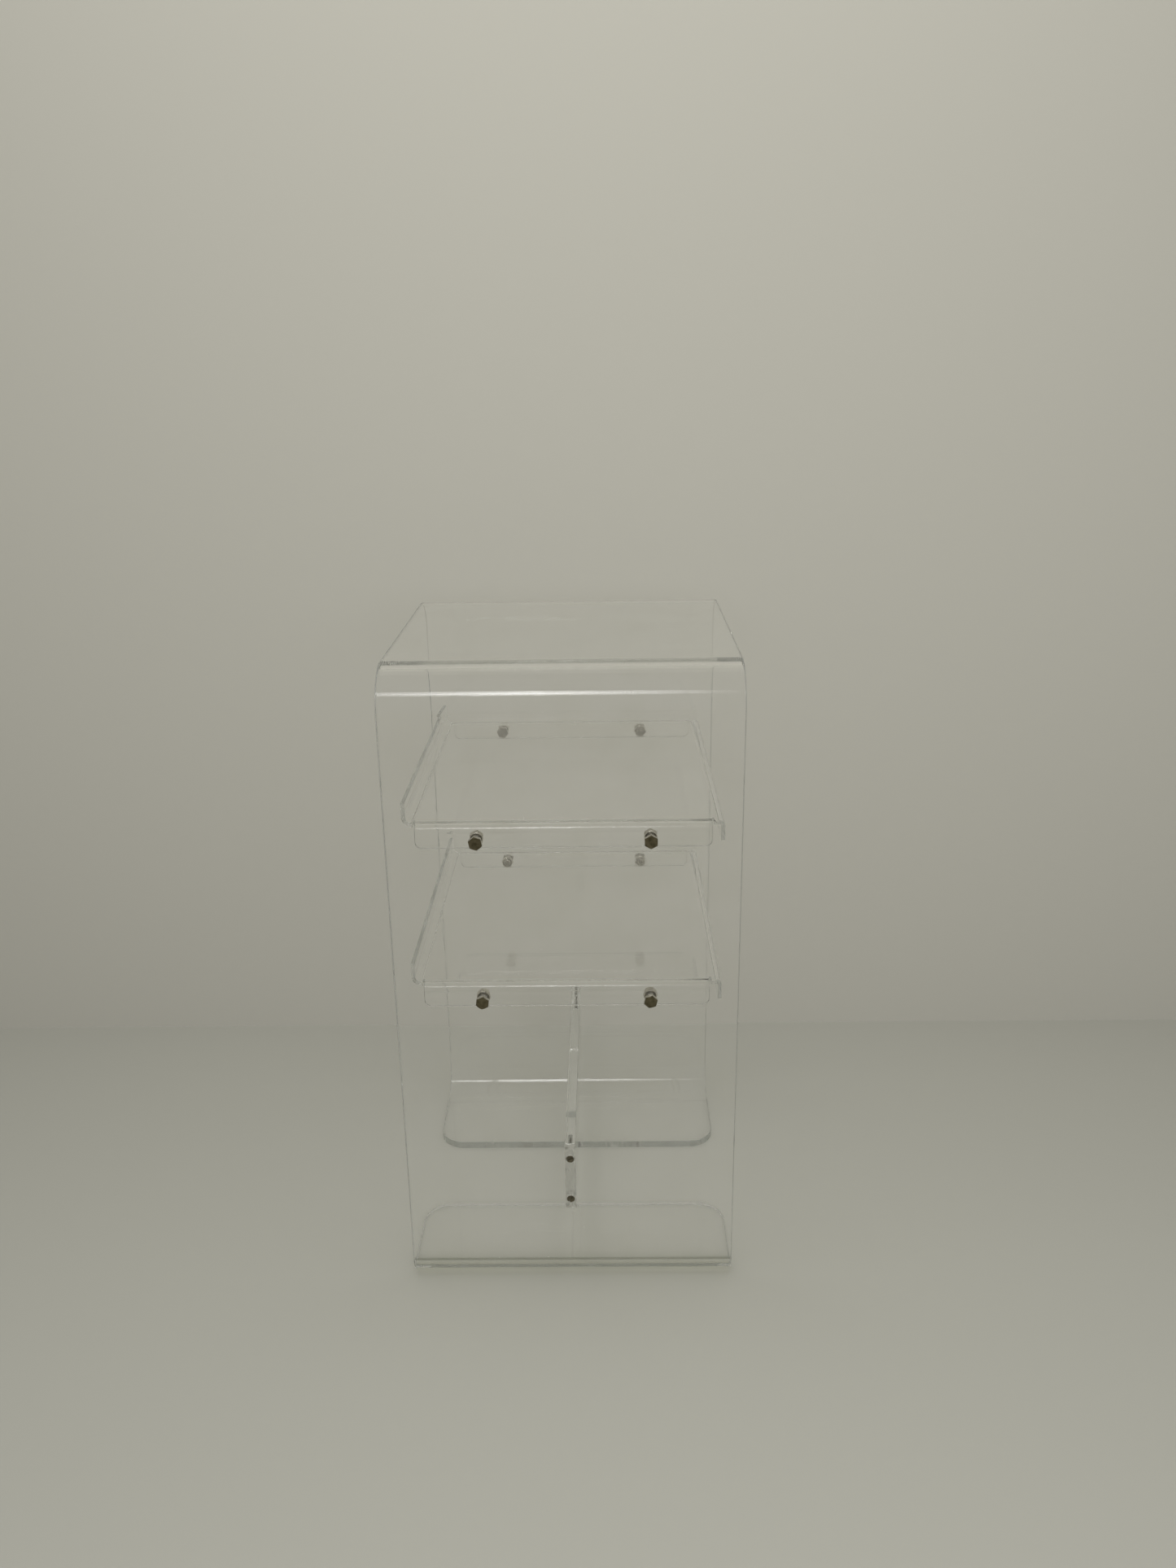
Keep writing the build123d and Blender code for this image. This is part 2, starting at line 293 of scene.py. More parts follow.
# %% Mix the acrylic
def clear_acrylic(name, marks_to_metre, least_rough, most_rough, clearness=1.0, passed_hex="#FFFFFF"):
    """Acrylic with marks; all but the clear share scatters light, and lamp light leaves with that tint."""
    material, tree, output = new_material(name)
    place = add_node(tree, "TexCoord").outputs["Object"]

    patches = add_node(tree, "TexNoise", {"Vector": place, "Scale": 1 / DULL_PATCH, "Detail": 4.0})
    worn = add_node(tree, "MapRange", {
        "Value": patches.outputs[0], "From Min": DULL_FROM, "From Max": DULL_TO})
    stretched = add_node(tree, "Mapping", {"Vector": place, "Scale": marks_to_metre, "Rotation": MARK_TURN})
    cells = add_node(tree, "TexVoronoi", {
        "Vector": stretched.outputs[0], "Scale": 1.0}, feature="DISTANCE_TO_EDGE")
    line = add_node(tree, "MapRange", {
        "Value": cells.outputs["Distance"], "From Min": MARK_WIDTH, "From Max": 0.0})
    marks = add_node(tree, "Math", {0: worn.outputs[0], 1: line.outputs[0]}, operation="MULTIPLY")

    dull = add_node(tree, "Math", {
        0: worn.outputs[0], 1: DULL_SHARE, 2: marks.outputs[0]}, operation="MULTIPLY_ADD")
    rough = add_node(tree, "MapRange", {
        "Value": dull.outputs[0], "To Min": least_rough, "To Max": most_rough})
    facing = add_node(tree, "LayerWeight", {"Blend": 0.5}).outputs["Facing"]
    glance = add_node(tree, "MapRange", {
        "Value": facing, "From Min": GLANCE_FROM, "From Max": GLANCE_TO, "To Min": 1.0, "To Max": 0.0})
    gloss = add_node(tree, "Math", {0: rough.outputs[0], 1: glance.outputs[0]}, operation="MULTIPLY")

    waves = add_node(tree, "TexNoise", {"Vector": place, "Scale": 1 / SWELL_LENGTH, "Detail": 1.0})
    swell = add_node(tree, "Bump", {
        "Height": waves.outputs[0], "Strength": SWELL_STRENGTH, "Distance": SWELL_HEIGHT})
    scratch = add_node(tree, "Bump", {
        "Height": marks.outputs[0], "Strength": MARK_STRENGTH, "Distance": MARK_DEPTH,
        "Normal": swell.outputs[0]}, invert=True)
    tint = add_node(tree, "MixRGB", {0: worn.outputs[0], 1: linear("#FFFFFF"), 2: linear(DULL_TINT)})
    sheet = add_node(tree, "BsdfPrincipled", {
        "Base Color": tint.outputs[0], "Roughness": gloss.outputs[0], "IOR": ACRYLIC_IOR,
        "Transmission Weight": clearness, "Normal": scratch.outputs[0]})

    passed = add_node(tree, "ValToRGB", {0: facing})
    passed.color_ramp.elements[0].color = linear(passed_hex)
    passed.color_ramp.elements[0].position = EDGE_ON_FROM
    passed.color_ramp.elements[1].color = linear(EDGE_ON_TONE)
    straight = add_node(tree, "BsdfTransparent", {"Color": passed.outputs[0]})
    ray = add_node(tree, "LightPath")
    lit = add_node(tree, "MixShader", {
        0: ray.outputs["Is Shadow Ray"], 1: sheet.outputs[0], 2: straight.outputs[0]})
    bounced = add_node(tree, "MixShader", {
        0: ray.outputs["Is Diffuse Ray"], 1: lit.outputs[0], 2: straight.outputs[0]})
    depth = add_node(tree, "VolumeAbsorption", {"Color": linear(DEPTH_TINT), "Density": DEPTH_DENSITY})
    tree.links.new(bounced.outputs[0], output.inputs["Surface"])
    tree.links.new(depth.outputs[0], output.inputs["Volume"])
    return material


# The faces mirror lamps in hard clean lines, and what stands behind them stays sharp.
flat_face = clear_acrylic("cast acrylic, glossy face", hairlines, least_rough=0.0, most_rough=0.1)
# A tight bend is as glossy, but throws light aside, so its shadow is a shade darker.
bent_face = clear_acrylic(
    "cast acrylic, bent tightly", hairlines, least_rough=0.0, most_rough=0.1, passed_hex="#FAFAF5")
# The shell's thick edges scatter the most light, so they show as thin grey lines and not as black ones.
polished_end = clear_acrylic(
    "cast acrylic, sawn and polished edge", saw_marks, least_rough=0.06, most_rough=0.28, clearness=0.93)
# A flame melts most of the saw marks away, so the bar's edges are almost as clear as its faces.
flamed_end = clear_acrylic(
    "cast acrylic, sawn and flame polished edge", saw_marks,
    least_rough=0.02, most_rough=0.15, clearness=0.99)
# A scraper leaves fine ridges, so the edges of the shelves blur what they mirror.
scraped_end = clear_acrylic(
    "cast acrylic, sawn and scraped edge", saw_marks, least_rough=0.15, most_rough=0.3, clearness=0.98)
print("acrylic:", [m.name for m in (flat_face, bent_face, polished_end, flamed_end, scraped_end)])

# %% [markdown]
# ## Cutting a sheet
# The real maker cuts a flat blank, rounds its corners, drills it, polishes its edges and then heats and
# bends it. Modifiers could thicken and bend a plain grid, but they leave small errors in the faces, and in
# clear material these bend what is seen through it. So the mesh is made in the maker's order. A blank is a
# set of closed lines, one for its outline and one for each hole, and each line carries the section of its
# edge. Lines are ruled across the blank where it will bend, so that a bend has many narrow flat strips.

# %% Draw the outline and the holes of a blank
X, Y = 0, 1
CORNER_STEPS, HOLE_STEPS = 8, 48
TINY = 0.003 * MM


def outline(corners, radii):
    """Walks anticlockwise round a blank and rounds each corner: points, each with the way that faces out."""
    line = []
    for i, radius in enumerate(radii):
        before, corner, after = corners[i - 1], corners[i], corners[(i + 1) % len(corners)]
        come = (corner - before).normalized()
        go = (after - corner).normalized()
        turn = math.atan2(come.cross(go), come.dot(go))
        side = math.copysign(radius, turn)
        facing = Vector((come.y, -come.x))
        centre = corner - come * radius * math.tan(abs(turn) / 2) - facing * side
        for step in range(CORNER_STEPS + 1):
            turned = Matrix.Rotation(turn * step / CORNER_STEPS, 2) @ facing
            line.append((centre + turned * side, turned))
    return line


def drilled(centre, diameter):
    """The line of a round hole, walked clockwise; out of the sheet is towards the hole's middle."""
    line = []
    for step in range(HOLE_STEPS):
        angle = -2 * math.pi * step / HOLE_STEPS
        spoke = Vector((math.cos(angle), math.sin(angle)))
        line.append((Vector(centre) + spoke * diameter / 2, -spoke))
    return line


def ruled(line, bend_lines):
    """Adds a point wherever the outline crosses a ruled line, given as its axis, place and half length."""
    fuller = []
    for i, (here, facing) in enumerate(line):
        run = line[(i + 1) % len(line)][0] - here
        shares = []
        for axis, place, reach in bend_lines:
            share = (place - here[axis]) / run[axis] if abs(run[axis]) > TINY else 0.0
            if TINY < share < 1 - TINY and abs((here + run * share)[1 - axis]) < reach + TINY:
                shares.append(share)
        fuller += [(here + run * share, facing) for share in [0.0] + sorted(shares)]
    return fuller


print("a drilled hole has", HOLE_STEPS, "points round it")

# %% [markdown]
# An edge is described by its section, as a list of bands from the outside face to the inside face. Each end
# of a band has how far it is set back from the line, its height in the sheet, and its lean: the angle from
# facing straight out of the sheet's face. A polished edge is flat with a small round at each face. A
# countersunk hole is a cone and then a straight bore.

# %% Shape the edges of a blank
EDGE_STEPS = 4
QUARTER_TURN = math.pi / 2
CONE_LEAN = math.pi / 4


def polished_edge(sheet, radius):
    """The bands of an edge that is rounded to a small radius at both faces."""
    section = []
    for side, first_lean in ((1, 0.0), (-1, QUARTER_TURN)):
        for step in range(EDGE_STEPS + 1):
            lean = first_lean + QUARTER_TURN * step / EDGE_STEPS
            height = side * (sheet / 2 - radius) + radius * math.cos(lean)
            section.append((radius * (1 - math.sin(lean)), height, lean))
    return list(zip(section, section[1:]))


def countersunk_edge(sheet, hole, mouth):
    """The bands of a screw hole that opens in a cone on the outside face."""
    depth = (mouth - hole) / 2
    cone = (depth, sheet / 2, CONE_LEAN), (0.0, sheet / 2 - depth, CONE_LEAN)
    bore = (0.0, sheet / 2 - depth, QUARTER_TURN), (0.0, -sheet / 2, QUARTER_TURN)
    return [cone, bore]


print("a polished edge has", 2 * EDGE_STEPS + 1, "bands")

# %% [markdown]
# The two faces of the blank are then filled in between the lines. A ready-made divider for flat shapes cuts
# a face along its bend lines and round its holes, which by hand would be slow and easy to get wrong. It
# fills the holes too, so what has all its corners on one hole is thrown away.

# %% Fill in the faces of a blank
FACE, EDGE, TIGHT_BEND = 0, 1, 2
WHOLE_FACES = 4  # the divider's kind of answer that a mesh can take as it is


def fill_face(points, rim_loops, bend_lines):
    """Divides one face of a blank, round its holes and along its bend lines, into polygons."""
    rim = [k for loop in rim_loops for k in loop]
    flat = [Vector(points[k][:2]) for k in rim]
    owner = [number for number, loop in enumerate(rim_loops) for _ in loop]
    edges, first = [], 0
    for loop in rim_loops:
        edges += [(first + i, first + (i + 1) % len(loop)) for i in range(len(loop))]
        first += len(loop)
    for axis, place, reach in bend_lines:
        near = [k for k, spot in enumerate(flat) if owner[k] == 0 and abs(spot[axis] - place) < TINY]
        edges.append([k for k in near if abs(flat[k][1 - axis]) < reach + TINY])
    _, _, polygons, sources, _, _ = delaunay_2d_cdt(flat, edges, [], WHOLE_FACES, TINY)
    kept = []
    for polygon in polygons:
        corners = [sources[k][0] for k in polygon]
        if len({owner[k] for k in corners}) > 1 or owner[corners[0]] == 0:
            kept.append([rim[k] for k in corners])
    return kept


def cut_blank(loops, bend_lines):
    """Points, faces, the direction of every face corner and the finish of every face of a flat blank."""
    points, faces, facings, finishes = [], [], [], []
    rims = {1: [], -1: []}
    for line, bands in loops:
        first, count = len(points), len(line)
        for set_back, height, _ in [bands[0][0]] + [band[1] for band in bands]:
            points += [(*(spot - facing * set_back), height) for spot, facing in line]
        for number, band in enumerate(bands):
            upper = first + number * count
            lower = upper + count
            for i in range(count):
                j = (i + 1) % count
                faces.append((upper + i, lower + i, lower + j, upper + j))
                finishes.append(EDGE)
                for k, end in ((i, 0), (i, 1), (j, 1), (j, 0)):
                    lean = band[end][2]
                    facings.append((*(line[k][1] * math.sin(lean)), math.cos(lean)))
        last = first + len(bands) * count
        rims[1].append(range(first, first + count))
        rims[-1].append(range(last, last + count))
    for side, rim_loops in rims.items():
        for corners in fill_face(points, rim_loops, bend_lines):
            faces.append(corners[::side])
            finishes.append(FACE)
            facings += [(0, 0, side)] * len(corners)
    return points, faces, facings, finishes


print("finishes of a sheet: face", FACE, "edge", EDGE, "tight bend", TIGHT_BEND)

# %% [markdown]
# ## Bending a sheet
# Bending moves every point of the blank and turns the surface directions with it. They are handed to the
# mesh as they are, instead of being guessed from the strips, so the big faces stay truly flat and the bends
# truly round.

# %% Bend a blank and put it in the rack
def form_sheet(name, blank, bend, materials):
    """Bends a flat blank: bend gives each point its place and how the blank's directions turn there."""
    points, faces, facings, finishes = blank
    bent = [bend(*point) for point in points]
    mesh = bpy.data.meshes.new(name)
    mesh.from_pydata([place for place, _ in bent], [], faces)
    mesh.shade_smooth()
    for material in materials:
        mesh.materials.append(material)
    mesh.polygons.foreach_set("material_index", finishes)
    corners = [k for face in faces for k in face]
    mesh.normals_split_custom_set([bent[k][1] @ Vector(facing) for k, facing in zip(corners, facings)])
    return mesh


def show(name, mesh, node):
    """Puts a finished piece in the rack in place of its plain solid."""
    piece = bpy.data.objects.new(name, mesh)
    scene.collection.objects.link(piece)
    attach(piece, "root")
    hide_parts(node)


# %% [markdown]
# ## The shell
# The shell is a sheet about two metres long before it is bent: front foot, front panel, top, back panel and
# back foot. The path of the sheet's middle is followed from the free edge of the front foot, turning a
# quarter to the right at each bend.

# %% Follow the path of the shell
shell_low, shell_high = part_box("shell")
WIDTH, HEIGHT = shell_high.x - shell_low.x, shell_high.z
SHELL_SHEET = 9 * MM
FRONT_BEND, TOP_BEND, BACK_BEND = 22 * MM, 46 * MM, 46 * MM
FRONT_FOOT, BACK_FOOT = 122 * MM, 146 * MM
FRONT_PANEL, BACK_PANEL = 1, 3  # their places among the runs, which start at 0 with the front foot
NO_BEND = 1.0  # a stand-in for the radius after the last run, which is never reached

bend_radii = [FRONT_BEND, TOP_BEND, TOP_BEND, BACK_BEND]
middle_radii = [radius - SHELL_SHEET / 2 for radius in bend_radii]
runs = [
    FRONT_FOOT - FRONT_BEND,
    HEIGHT - FRONT_BEND - TOP_BEND,
    shell_high.y - shell_low.y - 2 * TOP_BEND,
    HEIGHT - TOP_BEND - BACK_BEND,
    BACK_FOOT - BACK_BEND,
]
run_starts = [0.0]
for run, radius in zip(runs, middle_radii):
    run_starts.append(run_starts[-1] + run + radius * QUARTER_TURN)
shell_length = run_starts[-1] + runs[-1]


def bend_shell(along, across, out):
    """Where a point of the blank lands, and how its directions turn: along, across and out of the sheet."""
    spot = Vector((shell_low.y + FRONT_FOOT, SHELL_SHEET / 2))
    heading = math.pi
    for start, run, radius in zip(run_starts, runs, middle_radii + [NO_BEND]):
        travelled = along - start
        spot += Vector((math.cos(heading), math.sin(heading))) * min(travelled, run)
        if travelled <= run:
            break
        turn = min((travelled - run) / radius, QUARTER_TURN)
        spot -= Vector((-math.sin(heading), math.cos(heading))) * radius
        heading -= turn
        spot += Vector((-math.sin(heading), math.cos(heading))) * radius
        if turn < QUARTER_TURN - TINY:
            break
    onward = Vector((0, math.cos(heading), math.sin(heading)))
    outward = Vector((0, -math.sin(heading), math.cos(heading)))
    place = Vector((-across, spot.x, spot.y)) + outward * out
    return place, Matrix((onward, (-1, 0, 0), outward)).transposed()


print("shell: blank", round(shell_length / MM), "mm long and", round(WIDTH / MM), "mm wide")

# %% [markdown]
# The blank is a long rectangle with four large round corners, which become the corners of the feet. It has
# eight bolt holes and four countersunk screw holes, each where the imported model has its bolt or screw. The
# front bottom bend is the tightest, and gets the finish of a tight bend.

# %% Cut, drill and bend the shell
SHELL_EDGE, FOOT_CORNER = 0.7 * MM, 32 * MM
BOLT_HOLE, HOLE_EDGE = 8.4 * MM, 0.25 * MM
SCREW_HOLE, COUNTERSINK = 5.4 * MM, 9.1 * MM
BEND_STEPS = 40


def height_along(panel, z):
    """How far along the blank a height on the front or back panel lies."""
    if panel == "front":
        return run_starts[FRONT_PANEL] + z - FRONT_BEND
    return run_starts[BACK_PANEL] + HEIGHT - TOP_BEND - z


half = WIDTH / 2
bend_lines = [
    (X, start + run + radius * QUARTER_TURN * step / BEND_STEPS, half)
    for start, run, radius in zip(run_starts, runs, middle_radii)
    for step in range(BEND_STEPS + 1)
]
blank_corners = [Vector(c) for c in ((0, -half), (shell_length, -half), (shell_length, half), (0, half))]
shell_line = ruled(outline(blank_corners, [FOOT_CORNER] * 4), bend_lines)
loops = [(shell_line, polished_edge(SHELL_SHEET, SHELL_EDGE))]
for node in sorted(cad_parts):
    if node.endswith("_bolt") or node.endswith("_screw"):
        low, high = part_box(node)
        panel = "front" if "front" in node else "back"
        centre = (height_along(panel, (low.z + high.z) / 2), -(low.x + high.x) / 2)
        if node.endswith("_bolt"):
            loops.append((drilled(centre, BOLT_HOLE), polished_edge(SHELL_SHEET, HOLE_EDGE)))
        else:
            section = countersunk_edge(SHELL_SHEET, SCREW_HOLE, COUNTERSINK)
            loops.append((drilled(centre, SCREW_HOLE), section))

shell_blank = cut_blank(loops, bend_lines)
points, faces, _, finishes = shell_blank
tight_from, tight_to = runs[0] - TINY, run_starts[FRONT_PANEL] + TINY
for number, face in enumerate(faces):
    if finishes[number] == FACE and all(tight_from < points[k][X] < tight_to for k in face):
        finishes[number] = TIGHT_BEND
shell = form_sheet("acrylic_shell", shell_blank, bend_shell, [flat_face, polished_end, bent_face])
show("acrylic_shell", shell, "shell")
print("shell:", len(loops) - 1, "holes and", len(faces), "faces")

# %% [markdown]
# ## The shelves
# Each shelf is a thinner sheet. Its blank is a cross: a flange at the front and the back, bent down and
# bolted to the panels, a lip on the left, bent up to stop the magazines, and a lip on the right, bent down
# so that they slide in over a round edge. A small slit at each inner corner keeps the sheet from tearing
# where two bends meet.

# %% Lay out the blank of a shelf
SHELF_SHEET, SHELF_EDGE = 4 * MM, 0.4 * MM
FLANGE_HALF, LIP_END_GAP = 150 * MM, 5 * MM
SMALL_CORNER, FLANGE_CORNER = 0.7 * MM, 7 * MM
SLIT_WIDTH, SLIT_DEPTH = 1.6 * MM, 1.2 * MM


def cross_corners(left_end, right_end, lip_y, flange_end, flat_y):
    """Corners of the cross, anticlockwise from the front end of the right lip, and the radius of each."""
    slit_end, slit_side = flat_y - SLIT_DEPTH, FLANGE_HALF + SLIT_WIDTH
    quarter = [(FLANGE_HALF, flange_end), (FLANGE_HALF, slit_end), (slit_side, slit_end), (slit_side, lip_y)]
    corners = [(right_end, -lip_y), (right_end, lip_y)]
    corners += quarter[::-1]
    corners += [(-x, y) for x, y in quarter]
    corners += [(left_end, lip_y), (left_end, -lip_y)]
    corners += [(-x, -y) for x, y in quarter[::-1]]
    corners += [(x, -y) for x, y in quarter]
    radii = [FLANGE_CORNER if abs(y) > lip_y + TINY else SMALL_CORNER for _, y in corners]
    return [Vector(corner) for corner in corners], radii


print("shelf flanges:", round(2 * FLANGE_HALF / MM), "mm wide")

# %% [markdown]
# The cross bends about four lines, so one function turns a point past the start of any bend, and another
# finds the arm that the point is on. Both shelves are the same sheet at two heights: its places come from
# the box of each shelf and from the bolts that hold it.

# %% Cut and bend the shelves
RIGHT, LEFT = 1, -1
FLANGE_BEND, RISE_BEND, DROP_BEND = 10.5 * MM, 10 * MM, 6.5 * MM
SHELF_OVER_BOLTS, FLANGE_UNDER_BOLTS = 17 * MM, 9.5 * MM
LIP_RISE, LIP_DROP = 21 * MM, 22 * MM
PANEL_GAP = 0.1 * MM
SHELF_STEPS = 20


def arm_turn(past, out, radius, way):
    """A point that lies past the start of a bend: how far on and how far up it lands, and the turn there."""
    middle = radius - SHELF_SHEET / 2
    turn = min(past / middle, QUARTER_TURN)
    leg = max(past - middle * QUARTER_TURN, 0.0)
    reach = middle + way * out
    return math.sin(turn) * reach, way * (math.cos(turn) * reach - middle - leg), way * turn


def make_shelf(level):
    """One shelf, from its node's box and the sizes of its flanges and lips."""
    _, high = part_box(f"{level}_shelf")
    bolt_low, bolt_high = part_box(f"{level}_front_left_bolt")
    bolt_z = (bolt_low.z + bolt_high.z) / 2
    bolt_x = abs(bolt_low.x + bolt_high.x) / 2
    top = bolt_z + SHELF_OVER_BOLTS
    middle_z = top - SHELF_SHEET / 2
    lip_bend = {RIGHT: DROP_BEND, LEFT: RISE_BEND}
    lip_arc = {side: (radius - SHELF_SHEET / 2) * QUARTER_TURN for side, radius in lip_bend.items()}
    flat_x = {side: high.x - radius for side, radius in lip_bend.items()}
    flange_arc = (FLANGE_BEND - SHELF_SHEET / 2) * QUARTER_TURN
    flat_y = high.y - FLANGE_BEND - PANEL_GAP
    lip_y = high.y - LIP_END_GAP
    bolt_reach = flat_y + flange_arc + SHELF_OVER_BOLTS - FLANGE_BEND
    right_end = flat_x[RIGHT] + lip_arc[RIGHT] + LIP_DROP - DROP_BEND
    left_end = -flat_x[LEFT] - lip_arc[LEFT] - (LIP_RISE + SHELF_SHEET - RISE_BEND)

    def bend_shelf(x, y, out):
        """Where a point of the blank lands, and how its directions turn."""
        side = math.copysign(1, x)
        if abs(x) > flat_x[side]:
            on, up, turn = arm_turn(abs(x) - flat_x[side], out, lip_bend[side], side)
            place = Vector((side * (flat_x[side] + on), y, middle_z + up))
            return place, Matrix.Rotation(side * turn, 3, "Y")
        if abs(y) > flat_y:
            side = math.copysign(1, y)
            on, up, turn = arm_turn(abs(y) - flat_y, out, FLANGE_BEND, 1)
            place = Vector((x, side * (flat_y + on), middle_z + up))
            return place, Matrix.Rotation(-side * turn, 3, "X")
        return Vector((x, y, middle_z + out)), Matrix.Identity(3)

    steps = [(side, step / SHELF_STEPS) for side in (1, -1) for step in range(SHELF_STEPS + 1)]
    bend_lines = [(X, side * (flat_x[side] + lip_arc[side] * share), lip_y) for side, share in steps]
    bend_lines += [(Y, side * (flat_y + flange_arc * share), FLANGE_HALF) for side, share in steps]
    corners, radii = cross_corners(left_end, right_end, lip_y, bolt_reach + FLANGE_UNDER_BOLTS, flat_y)
    loops = [(ruled(outline(corners, radii), bend_lines), polished_edge(SHELF_SHEET, SHELF_EDGE))]
    for x in (-bolt_x, bolt_x):
        for y in (-bolt_reach, bolt_reach):
            loops.append((drilled((x, y), BOLT_HOLE), polished_edge(SHELF_SHEET, HOLE_EDGE)))
    blank = cut_blank(loops, bend_lines)
    name = f"acrylic_{level}_shelf"
    mesh = form_sheet(name, blank, bend_shelf, [flat_face, scraped_end])
    show(name, mesh, f"{level}_shelf")
    print(name, "has", len(mesh.polygons), "faces and its top at", round(top / MM), "mm")


for level in ("upper", "lower"):
    make_shelf(level)

# %% [markdown]
# ## Turned and cut pieces
# What was turned on a lathe is built from rings of points, joined like hoops into a skin. What was drilled
# or milled afterwards is cut out of the finished shape, as it was on the real piece. Edges that turn by more
# than fifteen degrees are kept crisp, and the rest are shaded smooth.

# %% Helpers for turned and cut pieces
LATHE_STEPS = 48
LATHE_ANGLES = [2 * math.pi * step / LATHE_STEPS for step in range(LATHE_STEPS)]
CRISP = math.radians(15)


def ring(radius, height):
    """Points round a circle about Z."""
    return [Vector((radius * math.cos(a), radius * math.sin(a), height)) for a in LATHE_ANGLES]


def loft(work, rings):
    """Joins rings of points into a skin; a ring of a single point closes an end."""
    made = [[work.verts.new(point) for point in one] for one in rings]
    for lower, upper in zip(made, made[1:]):
        count = max(len(lower), len(upper))
        for i in range(count):
            j = (i + 1) % count
            corners = [(lower, i), (lower, j), (upper, j), (upper, i)]
            work.faces.new(list(dict.fromkeys(one[k % len(one)] for one, k in corners)))


def to_mesh(name, work, materials, place=Matrix.Identity(4)):
    """Closes a shape off as a mesh in its place, with crisp edges."""
    bmesh.ops.recalc_face_normals(work, faces=work.faces[:])
    mesh = bpy.data.meshes.new(name)
    work.to_mesh(mesh)
    work.free()
    mesh.transform(place)
    mesh.shade_smooth()
    mesh.set_sharp_from_angle(angle=CRISP)
    for material in materials:
        mesh.materials.append(material)
    return mesh


def carve(mesh, cutter):
    """Cuts one mesh out of another and hands back what is left."""
    pieces = [bpy.data.objects.new(one.name, one) for one in (mesh, cutter)]
    for piece in pieces:
        scene.collection.objects.link(piece)
    cut = pieces[0].modifiers.new("cut", "BOOLEAN")
    cut.object = pieces[1]
    cut.operation = "DIFFERENCE"
    cut.solver = "EXACT"
    after_cut = pieces[0].evaluated_get(bpy.context.evaluated_depsgraph_get())
    carved = bpy.data.meshes.new_from_object(after_cut)
    for piece in pieces:
        bpy.data.objects.remove(piece)
    carved.set_sharp_from_angle(angle=CRISP)
    return carved


print("a turned piece has", LATHE_STEPS, "points round it")

# %% [markdown]
# ## The bar between the panels
# The bar stands on edge near the floor and keeps the two panels apart. It was sawn from thick sheet, its
# edges were broken and run over with a flame, and two pilot holes were drilled into each end for the screws.
# A drill has a blunt point, and the conical ends of the holes show inside clear material, so they are cut
# too. The bar stops a hair short of the panels, since two clear faces that share one place would flicker.

# %% Saw and drill the bar
BAR_EDGE, BAR_END_GAP = 0.5 * MM, 0.1 * MM
PILOT, PILOT_DEPTH = 5.1 * MM, 26 * MM
DRILL_POINT = math.radians(59)
SQUARE_TO_SIDE = 0.99

bar_low, bar_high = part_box("stretcher")
bar_middle = (bar_low + bar_high) / 2
bar_size = bar_high - bar_low - Vector((0, 2 * BAR_END_GAP, 0))
work = bmesh.new()
bmesh.ops.create_cube(work, size=1.0, matrix=Matrix.Diagonal((*bar_size, 1)))
bmesh.ops.bevel(work, geom=work.edges[:], offset=BAR_EDGE, segments=1, affect="EDGES")
bar = to_mesh("acrylic_stretcher", work, [flat_face, flamed_end], Matrix.Translation(bar_middle))
for face in bar.polygons:
    face.material_index = FACE if abs(face.normal.x) > SQUARE_TO_SIDE else EDGE

start, tip = bar_size.y / 2 + BAR_EDGE, bar_size.y / 2 - PILOT_DEPTH
point = PILOT / 2 / math.tan(DRILL_POINT)
drill_rings = [
    [Vector((0, 0, start))], ring(PILOT / 2, start), ring(PILOT / 2, tip), [Vector((0, 0, tip - point))]]
drills = bmesh.new()
for end in (-1, 1):
    for node in ("stretcher_front_upper_screw", "stretcher_front_lower_screw"):
        low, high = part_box(node)
        drill = bmesh.new()
        loft(drill, drill_rings)
        turned = Matrix.Rotation(-end * QUARTER_TURN, 4, "X")
        spot = Matrix.Translation((bar_middle.x, bar_middle.y, (low.z + high.z) / 2))
        drills.from_mesh(to_mesh("drill", drill, [], spot @ turned))
bar = carve(bar, to_mesh("drills", drills, []))
show("acrylic_stretcher", bar, "stretcher")
print("bar:", len(bar.polygons), "faces")

# %% [markdown]
# ## Steel
# The bolts and nuts are zinc plated. Plating starts silvery, turns a dull olive grey with handling, and is
# rubbed bright again along the edges that a spanner touches. The ends of the front bolts are painted dark, a
# painted reflection of a dark room in front of the rack, and the other ends are only dulled. The four slotted
# screws are plain turned steel, darker and a little oily. All are metals, so the colour is the colour of what
# they mirror. Noise blotches two colours of metal, and the edges are found by comparing the surface with a
# rounded copy of itself.

# %% Mix the steels
# The blotches are as large as on the real plating. Its grain is too fine to show, and is drawn coarser.
PATINA, GRAIN = 5 * MM, 0.5 * MM
AGED_FROM, AGED_TO = 0.35, 0.65
RUBBED_WIDTH, RUBBED_FROM, RUBBED_TO = 0.6 * MM, 0.99, 0.88
PIT_DEPTH, PIT_STRENGTH = 0.02 * MM, 0.3


